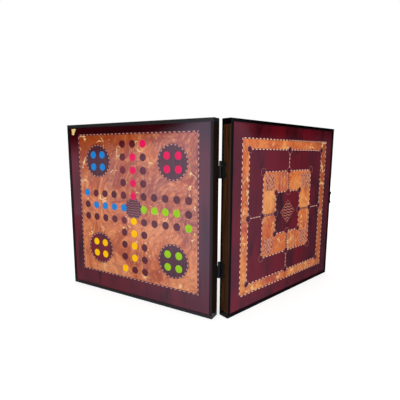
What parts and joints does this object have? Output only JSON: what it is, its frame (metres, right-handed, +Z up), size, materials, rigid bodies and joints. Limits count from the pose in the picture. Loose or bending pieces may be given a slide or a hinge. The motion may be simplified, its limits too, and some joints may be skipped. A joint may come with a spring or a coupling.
{
  "type": "folding games case",
  "caption": "Folding wooden games case of hinged square trays, with ludo and morris boards on the outer faces and backgammon and chess boards inside.",
  "frame": {"origin": "on the floor under the middle of the case's box, with the case standing open at 110 degrees", "axes": "+Z up; X across both halves, ludo half at -X and morris half at +X; the hinged edges and the outer faces look towards -Y"},
  "size_m": [0.6958, 0.2507, 0.4],
  "materials": {
    "black_lacquered_wood": "black gloss lacquer on solid wood",
    "walnut_rail": "lacquered walnut with black edges",
    "plywood": "plain plywood, hidden under the inlays",
    "maroon_veneer": "maroon stained veneer under gloss lacquer",
    "burl_veneer": "orange burl veneer under gloss lacquer",
    "dashed_stringing": "light and dark dashes under gloss lacquer",
    "dark_veneer": "dark stained veneer under gloss lacquer",
    "red_inlay": "red stained spots under gloss lacquer",
    "blue_inlay": "blue stained spots under gloss lacquer",
    "yellow_inlay": "yellow stained spots under gloss lacquer",
    "green_inlay": "green stained spots under gloss lacquer",
    "walnut_bar": "walnut veneer under gloss lacquer",
    "maple_veneer": "pale maple veneer under gloss lacquer",
    "chequered_inlay": "fine light and dark chequers under gloss lacquer",
    "striped_inlay": "fine stripes under gloss lacquer",
    "patterned_diamond": "fine zigzag pattern under gloss lacquer",
    "blackened_steel": "black enamel on pressed steel"
  },
  "bodies": {
    "ludo_half": {"ludo_top_rail": "black_lacquered_wood", "ludo_bottom_rail": "black_lacquered_wood", "ludo_hinge_rail": "walnut_rail", "ludo_free_rail": "walnut_rail", "ludo_panel": "plywood", "ludo_surround": "maroon_veneer", "ludo_ground": "burl_veneer", "ludo_stringing": "dashed_stringing", "ludo_home_discs": "dark_veneer", "ludo_rosette": "maroon_veneer", "ludo_path_spots": "dark_veneer", "ludo_red_spots": "red_inlay", "ludo_blue_spots": "blue_inlay", "ludo_yellow_spots": "yellow_inlay", "ludo_green_spots": "green_inlay", "backgammon_ground": "burl_veneer", "backgammon_bar": "walnut_bar", "backgammon_light_points": "maple_veneer", "backgammon_dark_points": "maroon_veneer", "ludo_corner_brads": "blackened_steel", "ludo_upper_leaf": "blackened_steel", "ludo_lower_leaf": "blackened_steel", "ludo_hinge_screws": "blackened_steel", "catch_plate": "blackened_steel", "catch_stud": "blackened_steel", "catch_screws": "blackened_steel", "upper_hinge_pin": "blackened_steel", "lower_hinge_pin": "blackened_steel"},
    "morris_half": {"morris_top_rail": "black_lacquered_wood", "morris_bottom_rail": "black_lacquered_wood", "morris_hinge_rail": "walnut_rail", "morris_free_rail": "walnut_rail", "morris_panel": "plywood", "morris_surround": "maroon_veneer", "morris_outer_band": "burl_veneer", "morris_field": "maroon_veneer", "morris_inner_band": "burl_veneer", "morris_centre": "maroon_veneer", "morris_diamond": "patterned_diamond", "morris_chequers": "chequered_inlay", "morris_stripes": "striped_inlay", "morris_stringing": "dashed_stringing", "morris_spots": "dark_veneer", "chess_border_sheet": "maroon_veneer", "chess_light_squares": "burl_veneer", "chess_dark_squares": "dark_veneer", "morris_corner_brads": "blackened_steel", "morris_upper_leaf": "blackened_steel", "morris_lower_leaf": "blackened_steel", "morris_hinge_screws": "blackened_steel", "latch_plate": "blackened_steel", "latch_rivet": "blackened_steel", "latch_screws": "blackened_steel"},
    "hook": {"latch_hook": "blackened_steel"}
  },
  "joints": [
    {"name": "fold", "type": "hinge", "parent": "ludo_half", "child": "morris_half", "pos_m": [0, -0.10662, 0.2], "axis": [0, 0, -1], "range_deg": [-110, 70]},
    {"name": "hook_swing", "type": "hinge", "parent": "morris_half", "child": "hook", "pos_m": [0.34549, 0.11112, 0.227], "axis": [0.8192, 0.5736, 0], "range_deg": [-90, 90]}
  ]
}
